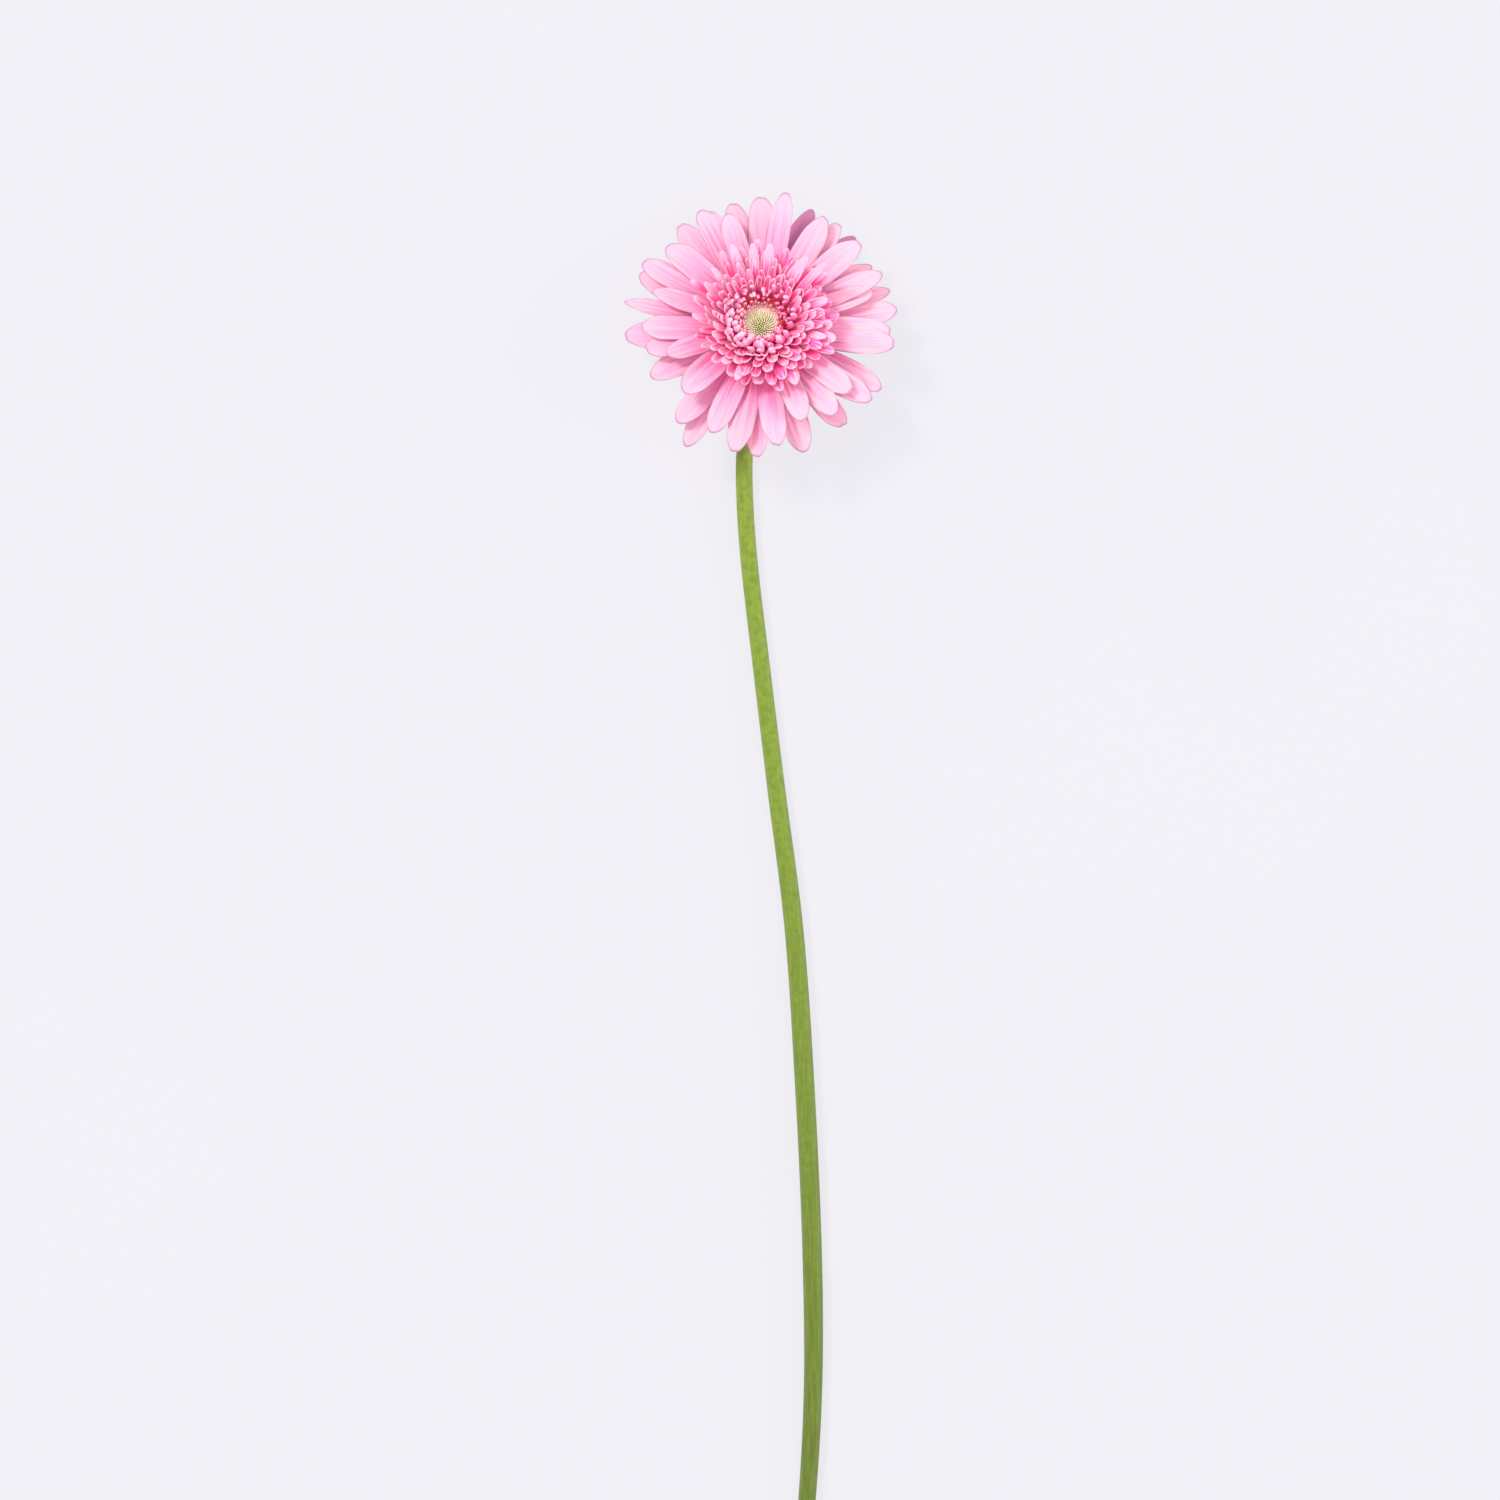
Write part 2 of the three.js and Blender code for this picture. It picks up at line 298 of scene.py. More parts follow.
def middle_line(radius, height, length, rise):
    """A floret's middle line in the plane of the flower's axis, as (out, up, rise in degrees) at
    even steps, from its foot and its rise at any share of its length."""
    out, up = radius, height
    line = [(out, up, rise(0))]
    for step in range(LINE_STEPS):
        angle = math.radians(rise((step + 0.5) / LINE_STEPS))
        out += math.cos(angle) * length / LINE_STEPS
        up += math.sin(angle) * length / LINE_STEPS
        line.append((out, up, rise((step + 1) / LINE_STEPS)))
    return line


def on_line(line, share, side, lift):
    """The point at a share of a middle line, moved sideways and towards the upper face."""
    step = min(int(share * LINE_STEPS), LINE_STEPS - 1)
    part = share * LINE_STEPS - step
    out, up, rise = [a + (b - a) * part for a, b in zip(line[step], line[step + 1])]
    angle = math.radians(rise)
    return Vector((side, out - lift * math.sin(angle), up + lift * math.cos(angle)))


def rolled(half, across, roll):
    """A place across a sheet whose sides roll up by an angle: how far sideways and how high."""
    if abs(roll) < 0.01:
        return half * across, 0.0
    return half * math.sin(roll * across) / roll, half * (1 - math.cos(roll * across)) / roll


def twisted(side, lift, turn):
    return side * math.cos(turn) - lift * math.sin(turn), side * math.sin(turn) + lift * math.cos(turn)


def round_tip(across, depth, power):
    """The share of its length that a petal reaches at a place across it, with a rounded tip."""
    side = min(1, abs(across))
    return 1 - depth * (1 - (1 - side**power) ** (1 / power))


def above_table(spot):
    """Lets whatever would sink into the table come to rest on it instead."""
    soft = 1.6 * MM
    if spot.z < soft:
        spot.z = 0.25 * MM + (soft - 0.25 * MM) * math.exp((spot.z - soft) / (soft - 0.25 * MM))
    return spot


def new_shape():
    """An empty shape whose points can carry their place across and along a petal, and a tone."""
    shape = bmesh.new()
    shape.verts.layers.float_vector.new("grain")
    return shape


def add_sheet(shape, columns, rows, place, matrix, tone):
    """Adds one petal: a flat grid that place(across, share) bends, then matrix puts in place."""
    grain = shape.verts.layers.float_vector["grain"]
    made = bmesh.ops.create_grid(shape, x_segments=columns, y_segments=rows, size=1)
    for vert in made["verts"]:
        across, share = vert.co.x, (vert.co.y + 1) / 2
        vert[grain] = (across, share, tone)
        vert.co = above_table(matrix @ (place(across, share) * MM))


def add_club(shape, place, matrix, tone, sides=8, rings=7):
    """Adds one hooded floret or bud: a ball that place(across, through, share) stretches."""
    grain = shape.verts.layers.float_vector["grain"]
    made = bmesh.ops.create_uvsphere(shape, u_segments=sides, v_segments=rings, radius=1)
    for vert in made["verts"]:
        x, y, z = vert.co
        share = (1 + z) / 2
        vert[grain] = (x, share, tone)
        vert.co = matrix @ (place(x, y, share) * MM)


def show(shape, node, materials, thickness=0.0):
    """Makes a finished piece of a shape: it rides on the flower and stands for one CAD node."""
    name = f"shown_{node}"
    mesh = bpy.data.meshes.new(name)
    for face in shape.faces:
        face.smooth = True
    shape.to_mesh(mesh)
    shape.free()
    piece = bpy.data.objects.new(name, mesh)
    bpy.context.scene.collection.objects.link(piece)
    for material in materials:
        mesh.materials.append(material)
    if thickness:
        wall = piece.modifiers.new("Wall", "SOLIDIFY")
        wall.thickness = thickness
        wall.offset = 0
        wall.material_offset = len(materials) - 1
    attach(piece, "root")
    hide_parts(node)
    return piece


# ---- Materials ----


def put(tree, kind, inputs=None, **settings):
    """Adds a node. Its inputs are given by name or number, as values or as sockets to link."""
    made = tree.nodes.new(kind)
    for name, value in settings.items():
        setattr(made, name, value)
    for name, value in (inputs or {}).items():
        if isinstance(value, bpy.types.NodeSocket):
            tree.links.new(value, made.inputs[name])
        else:
            made.inputs[name].default_value = value
    return made


def maths(tree, operation, *values):
    return put(tree, "ShaderNodeMath", dict(enumerate(values)), operation=operation).outputs[0]


def span(tree, value, low, high, to_low=0.0, to_high=1.0):
    """A value eased from one range to another and held at its ends."""
    inputs = {0: value, 1: low, 2: high, 3: to_low, 4: to_high}
    made = put(tree, "ShaderNodeMapRange", inputs, interpolation_type="SMOOTHSTEP")
    return made.outputs[0]


def blend(tree, factor, first, second, how="MIX"):
    inputs = {0: factor, 6: first, 7: second}
    made = put(tree, "ShaderNodeMix", inputs, data_type="RGBA", blend_type=how)
    return made.outputs[2]


def rgba(colour):
    return (*colour, 1.0)


def new_group(name, inputs, outputs):
    """An empty node group with its sockets, and its input and output nodes."""
    group = bpy.data.node_groups.new(name, "ShaderNodeTree")
    for label, kind in inputs:
        group.interface.new_socket(label, in_out="INPUT", socket_type=kind)
    for label, kind in outputs:
        group.interface.new_socket(label, in_out="OUTPUT", socket_type=kind)
    entry = group.nodes.new("NodeGroupInput")
    leave = group.nodes.new("NodeGroupOutput")
    return group, entry, leave


def petal_grain_group():
    """Fine veins, soft streaks and the edge of any petal, from its own grain."""
    if "Petal grain" in bpy.data.node_groups:
        return bpy.data.node_groups["Petal grain"]
    value = "NodeSocketFloat"
    group, entry, leave = new_group(
        "Petal grain",
        [("Vein count", value), ("Streak count", value), ("Rim start", value)],
        [("Along", value), ("Tone", value), ("Streak", value), ("Vein", value), ("Edge", value)],
    )
    grain = put(group, "ShaderNodeAttribute", attribute_name="grain")
    parts = put(group, "ShaderNodeSeparateXYZ", {0: grain.outputs["Vector"]})
    across, share, tone = parts.outputs
    shift = maths(group, "MULTIPLY", tone, 37.0)
    streak_place = put(
        group,
        "ShaderNodeCombineXYZ",
        {
            0: maths(group, "MULTIPLY", across, entry.outputs["Streak count"]),
            1: maths(group, "MULTIPLY", share, 2.2),
            2: shift,
        },
    )
    streak = put(
        group,
        "ShaderNodeTexNoise",
        {"Vector": streak_place.outputs[0], "Scale": 1.0, "Detail": 3.0, "Roughness": 0.55},
    )
    wander = put(
        group,
        "ShaderNodeTexNoise",
        {"Vector": streak_place.outputs[0], "Scale": 0.35, "Detail": 1.0},
    )
    bent = maths(group, "MULTIPLY_ADD", wander.outputs[0], 0.12, across)
    wave = maths(group, "MULTIPLY", bent, entry.outputs["Vein count"])
    ridge = maths(group, "ABSOLUTE", maths(group, "SINE", wave))
    vein = span(group, ridge, 0.0, 0.4, 1.0, 0.0)
    side = span(group, maths(group, "ABSOLUTE", across), entry.outputs["Rim start"], 1.0)
    end = span(group, share, 0.965, 1.0, 0.0, 0.85)
    edge = maths(group, "MAXIMUM", side, end)
    made = {"Along": share, "Tone": tone, "Streak": streak.outputs[0], "Vein": vein, "Edge": edge}
    for label, socket in made.items():
        group.links.new(socket, leave.inputs[label])
    return group


def petal_tint_group():
    """Colour of a petal from foot to tip, with its streaks, veins and edge line."""
    if "Petal tint" in bpy.data.node_groups:
        return bpy.data.node_groups["Petal tint"]
    values = ("Along", "Tone", "Streak", "Vein", "Edge")
    values += ("Foot reach", "Tip start", "Vein share", "Edge share")
    taken = [(name, "NodeSocketFloat") for name in values]
    taken += [(name, "NodeSocketColor") for name in ("Foot", "Middle", "Tip", "Line")]
    group, entry, leave = new_group("Petal tint", taken, [("Colour", "NodeSocketColor")])
    get = entry.outputs
    reach = maths(group, "MULTIPLY_ADD", get["Streak"], 1.1, -0.55)
    tone_reach = maths(group, "MULTIPLY_ADD", get["Tone"], -0.3, 0.15)
    here = maths(group, "ADD", maths(group, "ADD", get["Along"], reach), tone_reach)
    foot = span(group, here, 0.0, get["Foot reach"])
    tip = span(group, here, get["Tip start"], 1.0)
    body = blend(group, foot, get["Foot"], get["Middle"])
    body = blend(group, tip, body, get["Tip"])
    lines = maths(group, "MULTIPLY", get["Vein"], get["Vein share"])
    body = blend(group, lines, body, get["Line"])
    # The edge line: on the ray petals a dark line that is partly the petal's own margin and partly painted
    # contact shadow.
    border = maths(group, "MULTIPLY", get["Edge"], get["Edge share"])
    body = blend(group, border, body, get["Line"])
    group.links.new(body, leave.inputs["Colour"])
    return group


def plant_skin_group():
    """Long fibres, soft mottling and small pale flecks of green skin, from its place in space."""
    if "Plant skin" in bpy.data.node_groups:
        return bpy.data.node_groups["Plant skin"]
    value = "NodeSocketFloat"
    group, entry, leave = new_group(
        "Plant skin",
        [("Fibre scale", value), ("Fleck scale", value)],
        [("Fibre", value), ("Mottle", value), ("Fleck", value)],
    )
    place = put(group, "ShaderNodeTexCoord").outputs["Object"]
    long_place = put(group, "ShaderNodeMapping", {"Vector": place, "Scale": (1.0, 0.045, 1.0)})
    fibre = put(
        group,
        "ShaderNodeTexNoise",
        {"Vector": long_place.outputs[0], "Scale": entry.outputs["Fibre scale"], "Detail": 3.0},
    )
    mottle = put(group, "ShaderNodeTexNoise", {"Vector": place, "Scale": 420.0, "Detail": 4.0})
    cells = put(
        group,
        "ShaderNodeTexVoronoi",
        {"Vector": place, "Scale": entry.outputs["Fleck scale"], "Randomness": 1.0},
    )
    fleck = span(group, cells.outputs["Distance"], 0.06, 0.16, 1.0, 0.0)
    group.links.new(fibre.outputs[0], leave.inputs["Fibre"])
    group.links.new(mottle.outputs[0], leave.inputs["Mottle"])
    group.links.new(fleck, leave.inputs["Fleck"])
    return group


# Colour of a painted glow: the petals give off a faint rosy light of their own, in place of the light that
# comes through a thin petal.
PAINTED_THROUGH_GLOW = (1.0, 0.02, 0.5)


def new_material(name, roughness, sheen=0.0, through=0.0, grain=0.5):
    """A material with only its shader: roughness, velvet sheen, and a painted glow, a faint rosy light
    the surface gives off in place of the light that comes through a thin petal."""
    material = bpy.data.materials.new(name)
    material.use_nodes = True
    tree = material.node_tree
    skin = tree.nodes["Principled BSDF"]
    skin.inputs["Roughness"].default_value = roughness
    skin.inputs["Specular IOR Level"].default_value = 0.22
    skin.inputs["Sheen Weight"].default_value = sheen
    skin.inputs["Sheen Roughness"].default_value = grain
    # Painted glow: a faint rosy emission that lifts the shadows on the petals.
    skin.inputs["Emission Color"].default_value = rgba(PAINTED_THROUGH_GLOW)
    skin.inputs["Emission Strength"].default_value = through
    return material, tree, skin


def petal_grain(tree, veins, streaks, rim):
    """Places the shared grain group in a material and gives back what it puts out."""
    grain = tree.nodes.new("ShaderNodeGroup")
    grain.node_tree = petal_grain_group()
    for label, value in (("Vein count", veins), ("Streak count", streaks), ("Rim start", rim)):
        grain.inputs[label].default_value = value
    return grain.outputs


# through sets the strength of the painted glow that the petal gives off.
def petal_material(
    name, colours, veins, streaks, reach, shares, rim=0.78, roughness=0.6, through=0.02
):
    """A petal's finish: foot, middle, tip and line colours over the shared petal groups."""
    if name in bpy.data.materials:
        return bpy.data.materials[name]
    material, tree, skin = new_material(name, roughness, sheen=0.05, through=through)
    grain = petal_grain(tree, veins, streaks, rim)
    look = tree.nodes.new("ShaderNodeGroup")
    look.node_tree = petal_tint_group()
    for label in ("Along", "Tone", "Streak", "Vein", "Edge"):
        tree.links.new(grain[label], look.inputs[label])
    look.inputs["Foot reach"].default_value, look.inputs["Tip start"].default_value = reach
    look.inputs["Vein share"].default_value, look.inputs["Edge share"].default_value = shares
    for label, value in zip(("Foot", "Middle", "Tip", "Line"), colours):
        look.inputs[label].default_value = rgba(value)
    tree.links.new(look.outputs["Colour"], skin.inputs["Base Color"])
    relief = maths(tree, "MULTIPLY_ADD", grain["Vein"], -0.5, grain["Streak"])
    bump = put(tree, "ShaderNodeBump", {"Height": relief, "Strength": 0.35, "Distance": 0.15 * MM})
    tree.links.new(bump.outputs[0], skin.inputs["Normal"])
    return material


def green_material(name, top, low, ends, sheen):
    """Green skin whose colour changes along the row's Y, between ends."""
    if name in bpy.data.materials:
        return bpy.data.materials[name]
    material, tree, skin = new_material(name, 0.55, sheen=sheen, grain=0.6)
    surface = tree.nodes.new("ShaderNodeGroup")
    surface.node_tree = plant_skin_group()
    surface.inputs["Fibre scale"].default_value = 1500.0
    surface.inputs["Fleck scale"].default_value = 900.0
    place = put(tree, "ShaderNodeTexCoord").outputs["Object"]
    height = put(tree, "ShaderNodeSeparateXYZ", {0: place}).outputs[1]
    share = span(tree, height, ends[0], ends[1])
    body = blend(tree, share, rgba(low), rgba(top))
    fibre = span(tree, surface.outputs["Fibre"], 0.35, 0.68, 0.0, 0.16)
    body = blend(tree, fibre, body, rgba(tint("A8BE48")))
    mottle = span(tree, surface.outputs["Mottle"], 0.42, 0.66, 0.0, 0.42)
    body = blend(tree, mottle, body, rgba(tint("587414")))
    fleck = maths(tree, "MULTIPLY", surface.outputs["Fleck"], 0.24)
    body = blend(tree, fleck, body, rgba(tint("DDE5C2")))
    tree.links.new(body, skin.inputs["Base Color"])
    relief = maths(tree, "MULTIPLY_ADD", surface.outputs["Fleck"], 0.4, surface.outputs["Fibre"])
    bump = put(tree, "ShaderNodeBump", {"Height": relief, "Strength": 0.5, "Distance": 0.12 * MM})
    tree.links.new(bump.outputs[0], skin.inputs["Normal"])
    return material


def ray_materials(in_painted_shade):
    """The face and the underside of a ray petal; those of the lowest level at the upper right get one darker,
    duller face colour, painted shade.
    """
    paints = bpy.context.scene.gerbera_colours
    # Painted shade: these petals take one darker colour for the middle and the tip of the face.
    middle = paints.ray_painted_shade if in_painted_shade else paints.ray_middle
    tip = paints.ray_painted_shade if in_painted_shade else paints.ray_tip
    # The dark edge line of the face is partly the petal's own margin and partly painted contact shadow; the
    # veins are its own.
    face = petal_material(
        "Ray petal face, lowest level" if in_painted_shade else "Ray petal face",
        (paints.ray_foot, middle, tip, paints.ray_line_and_painted_shadow),
        veins=17.0,
        streaks=5.0,
        reach=(0.62, 0.5),
        shares=(0.32, 0.82),
        rim=0.88,
    )
    back = petal_material(
        "Ray petal back",
        (paints.ray_foot, paints.ray_back, paints.ray_back, paints.ray_line_and_painted_shadow),
        veins=11.0,
        streaks=4.0,
        reach=(0.4, 0.7),
        shares=(0.4, 0.5),
        rim=0.9,
    )
    return [face, back]


def trans_material():
    paints = bpy.context.scene.gerbera_colours
    # Its edges take the pale ray tip colour: partly the florets' own paler margin, partly painted light on
    # their thin rims.
    return petal_material(
        "Trans floret",
        (paints.trans_foot, paints.trans_middle, paints.trans_tip, paints.ray_tip),
        veins=8.0,
        streaks=3.0,
        reach=(0.84, 0.72),
        shares=(0.1, 0.75),
    )


def inner_material():
    paints = bpy.context.scene.gerbera_colours
    return petal_material(
        "Inner floret",
        (paints.inner_foot, paints.inner_middle, paints.inner_tip, paints.inner_tip),
        veins=5.0,
        streaks=2.0,
        reach=(0.86, 0.7),
        shares=(0.0, 0.4),
    )


# ---- Shapes of the florets ----


def ray_outline(share):
    """Width of a ray petal along its length, as a share of the greatest."""
    return 0.4 + 0.6 * smoothstep(share, 0, 0.5)


def ray_place(ray, chance, groove):
    """How one ray petal bends a flat grid, with its own curl, twist and grooves."""
    clock, reach, width, level, droop = ray
    height = -0.5 - LEVEL_STEP * level
    start = RAY_START - LEVEL_DROP * level - droop
    finish = RAY_FINISH - LEVEL_DROP * level - 2 * droop
    first, last = math.radians(start), math.radians(finish)
    spread = (math.sin(last) - math.sin(first)) / (last - first)
    length = (reach - RAY_FOOT) / spread
    resting = level == 4
    sag = 0 if resting else chance.uniform(-7, 7)
    tip_turn = 0 if resting else chance.uniform(-16, 12)

    def rise(share):
        wave = sag * math.sin(math.pi * share)
        return start + (finish - start) * share + wave + tip_turn * smoothstep(share, 0.7, 1)

    line = middle_line(RAY_FOOT, height, length, rise)
    narrow = width < NARROW_RAY
    slender = narrow or 0 < clock < 75
    tip_depth = chance.uniform(0.25, 0.36) + (0.09 if slender else 0)
    tip_power = chance.uniform(1.8, 2.15) - (0.2 if narrow else 0)
    notch = chance.choice([0.0, 0.0, 0.006, 0.012])
    ribs = chance.choice([2, 3, 3, 4])
    rib_shift = chance.uniform(-0.2, 0.2)
    sway = chance.uniform(-1.3, 1.3)
    twist = math.radians(chance.uniform(-9, 9)) * (1.8 if narrow else 1)
    roll = math.radians(FOLDS.get(clock, chance.uniform(-40, -14)))
    ruffle = chance.uniform(0.1, 0.35)
    phase = chance.uniform(0, 6.3)
    lean = chance.uniform(-0.12, 0.12)

    def place(across, share):
        full = round_tip(across - lean * (1 - across * across), tip_depth, tip_power)
        full -= notch * (0.5 + 0.5 * math.cos(3 * math.pi * across)) * (1 - across * across)
        at = share * full
        side, lift = rolled(width / 2 * ray_outline(at), across, roll * (1 - 0.5 * at))
        fade = smoothstep(at, 0.03, 0.3) * (1 - 0.85 * smoothstep(at, 0.65, 1))
        lift += groove * math.cos(math.pi * ribs * (across + rib_shift)) * fade
        lift += ruffle * across * abs(across) * math.sin(8 * at + phase) * smoothstep(at, 0.1, 0.4)
        side, lift = twisted(side, lift, twist * at)
        return on_line(line, at, side + sway * at * at, lift)

    return place


def strap_place(row, chance, tip_depth, outline, jitter=1.0):
    """How one short floret bends a flat grid into a channelled strap with a hooked tip."""
    radius, height, start, finish, length, _, width, roll, hook = row
    length = length * (1 + jitter * chance.uniform(-0.16, 0.12))
    width = width * chance.uniform(0.84, 1.12)
    lean = jitter * chance.uniform(-5, 5)
    roll = math.radians(roll) * chance.uniform(0.7, 1.25)
    hook = hook * chance.uniform(0.6, 1.2) + jitter * chance.uniform(-10, 14)
    twist = math.radians(jitter * chance.uniform(-16, 16))
    teeth = chance.choice([0.0, 0.0, 0.02, 0.035])
    sway = jitter * chance.uniform(-1.1, 1.1)
    power = chance.uniform(1.8, 2.3)

    def rise(share):
        return start + (finish - start) * share + lean + hook * smoothstep(share, 0.62, 1)

    line = middle_line(radius, height, length, rise)

    def place(across, share):
        full = round_tip(across, tip_depth, power)
        full -= teeth * (0.5 + 0.5 * math.cos(3 * math.pi * across)) * (1 - across * across)
        at = share * full
        side, lift = rolled(width / 2 * outline(at), across, roll)
        side, lift = twisted(side, lift, twist * at)
        return on_line(line, at, side + sway * at * at, lift)

    return place


def trans_outline(share):
    return 0.42 + 0.58 * smoothstep(share, 0.1, 0.7)


def bract_outline(share):
    return (0.8 + 0.2 * smoothstep(share, 0, 0.3)) * (1 - 0.75 * smoothstep(share, 0.45, 1.05))


def hooded_place(row, chance):
    """How one closed floret stretches a ball: a thin stalk below a round hood that nods inwards."""
    radius, height, start, finish, length, _, width, nod = row
    length = length * chance.uniform(0.86, 1.1)
    width = width * chance.uniform(0.82, 1.14)
    lean = chance.uniform(-7, 6)
    nod = nod * chance.uniform(0.5, 1.25)
    depth = chance.uniform(0.7, 0.95)
    sway = chance.uniform(-0.8, 0.8)

    def rise(share):
        return start + (finish - start) * share + lean + nod * smoothstep(share, 0.6, 1)

    line = middle_line(radius, height, length, rise)

    def place(across, through, share):
        girth = 0.5 + 0.5 * smoothstep(share, 0.35, 0.85)
        side = across * width / 2 * girth + sway * share * share
        return on_line(line, share, side, through * width / 2 * depth * girth)

    return place


def clock_matrix(head, degrees):
    """Turns a petal that points along +Y to its clock angle on the head."""
    return head @ Matrix.Rotation(math.radians(degrees - 90), 4, "Z")


def add_rows(shape, rows, chance, grid, tip_depth, outline, jitter=1.0):
    """Adds rows of short florets, each floret with its own size, lean and curl. They stand steeper
    on the flower's left and grow broader on its right; those on the left also get a paler tone,
    painted light."""
    head = head_place()
    for number, row in enumerate(rows):
        count = row[5]
        for i in range(count):
            clock = (i + number / len(rows)) * 360 / count + jitter * chance.uniform(-3.5, 3.5)
            leftness = jitter * math.cos(math.radians(clock - 190))
            own = list(row)
            own[2] += 7 * leftness
            own[3] += 7 * leftness
            own[6] *= 1 + 0.24 * jitter * math.cos(math.radians(clock + 35))
            own[8] += 14 * leftness
            place = strap_place(own, chance, tip_depth, outline, jitter)
            # Tone varies at random and also carries painted light: florets on the flower's left are paler.
            tone = chance.random() - 0.25 * leftness
            add_sheet(shape, *grid, place, clock_matrix(head, clock), tone)


def add_hooded(shape, rows, chance):
    """Adds rows of closed florets; those on the flower's left get a paler tone, painted light."""
    head = head_place()
    for number, row in enumerate(rows):
        count = row[5]
        for i in range(count):
            clock = (i + number / 2) * 360 / count + chance.uniform(-3.5, 3.5)
            own = list(row)
            own[6] *= 1 + 0.3 * math.cos(math.radians(clock - 235))
            place = hooded_place(own, chance)
            # Tone varies at random and also carries painted light: florets on the flower's left are paler.
            tone = chance.random() - 0.3 * math.cos(math.radians(clock - 190))
            add_club(shape, place, clock_matrix(head, clock), tone, 10, 10)


# ---- Operators ----


class GERBERA_OT_stem(bpy.types.Operator):
    """Grow the stem along the table and up into the head, with a slanted cut"""

    bl_idname = "gerbera.stem"
    bl_label = "Stem"

    def route(self):
        """Points of the centre line, from the head to the cut, close together."""
        head = head_place()
        tilt = bpy.context.scene.gerbera_sizes.head_tilt
        origin = head.translation / MM
        neck_radius = along(STEM_GIRTH, 0.02)
        top = head @ Vector((0, 0, -NECK_TOP * MM)) / MM
        neck = head @ Vector((0, 0, (-NECK_TOP - NECK_STRAIGHT) * MM)) / MM
        points = [top]
        for step in range(6):
            share = step / 5
            slope = tilt + (math.pi / 2 - tilt) * share
            back = NECK_BEND * (math.cos(tilt) - math.cos(slope))
            down = NECK_BEND * (math.sin(slope) - math.sin(tilt))
            points.append(neck + Vector((-1.4 * share * share, -back, -down)))
        points += [Vector((origin.x + x, origin.y + y, neck_radius)) for x, y in BOW]
        tangents = []
        for i, point in enumerate(points):
            before, after = points[max(0, i - 1)], points[min(len(points) - 1, i + 1)]
            tangents.append((after - before).normalized())
        line = []
        for (a, ta), (b, tb) in zip(zip(points, tangents), zip(points[1:], tangents[1:])):
            gap = (b - a).length
            count = max(3, round(gap / 2.4))
            line += interpolate_bezier(a, a + ta * gap / 3, b - tb * gap / 3, b, count)[:-1]
        return line + [points[-1]]

    def execute(self, context):
        line = self.route()
        lengths = [0.0]
        for a, b in zip(line, line[1:]):
            lengths.append(lengths[-1] + (b - a).length)
        shape = new_shape()
        grain = shape.verts.layers.float_vector["grain"]
        ring = bmesh.ops.create_circle(shape, segments=STEM_SIDES, radius=1)["verts"]
        edges = list(shape.edges)
        for i, centre in enumerate(line):
            if i:
                made = bmesh.ops.extrude_edge_only(shape, edges=edges)["geom"]
                ring = [part for part in made if isinstance(part, bmesh.types.BMVert)]
                edges = [part for part in made if isinstance(part, bmesh.types.BMEdge)]
            share = lengths[i] / lengths[-1]
            girth = along(STEM_GIRTH, share)
            ahead = line[min(i + 1, len(line) - 1)] - line[max(i - 1, 0)]
            ahead.normalize()
            side = (Vector((1, 0, 0)) - ahead * ahead.x).normalized()
            upper = ahead.cross(side).normalized()
            lying = smoothstep(lengths[i], 24, 34)
            middle = Vector((centre.x, centre.y, centre.z + (girth - centre.z) * lying))
            for number, vert in enumerate(ring):
                angle = 2 * math.pi * number / STEM_SIDES
                ridges = 1 + RIDGE_DEPTH * math.cos(STEM_RIDGES * angle + 3 * share) - RIDGE_DEPTH
                slant = CUT_SLANT * math.sin(angle) * girth if i == len(line) - 1 else 0
                radial = side * math.cos(angle) - upper * math.sin(angle)
                spot = middle + radial * girth * ridges - ahead * slant
                vert.co = spot * MM
                vert[grain] = (math.cos(angle), share, 0.5)
        cap = bmesh.ops.contextual_create(shape, geom=edges)["faces"]
        cap[0].material_index = 1
        for depth, thickness in ((0, 0.35), (-0.25, 0.6), (-1.6, 0.5)):
            bmesh.ops.inset_region(
                shape, faces=cap, thickness=thickness * MM, depth=depth * MM, use_even_offset=True
            )
        for face in shape.faces:
            if len(face.verts) == 4 and face.calc_center_median().y < line[-1].y * MM:
                face.material_index = 1
        bmesh.ops.recalc_face_normals(shape, faces=shape.faces)
        paints = context.scene.gerbera_colours
        ends = (line[-1].y * MM, line[0].y * MM)
        skin = green_material("Stem skin", paints.stem_top, paints.stem_low, ends, sheen=0.18)
        show(shape, "stem", [skin, self.flesh(paints)])
        return {"FINISHED"}

    def flesh(self, paints):
        """Pale wet inside of the cut stem, spotted with strands."""
        material, tree, skin = new_material("Cut flesh", 0.35)
        place = put(tree, "ShaderNodeTexCoord").outputs["Object"]
        spots = put(tree, "ShaderNodeTexVoronoi", {"Vector": place, "Scale": 1300.0})
        dark = span(tree, spots.outputs["Distance"], 0.1, 0.35, 0.7, 0.0)
        body = blend(tree, dark, rgba(paints.pith), rgba(paints.stem_top))
        tree.links.new(body, skin.inputs["Base Color"])
        return material


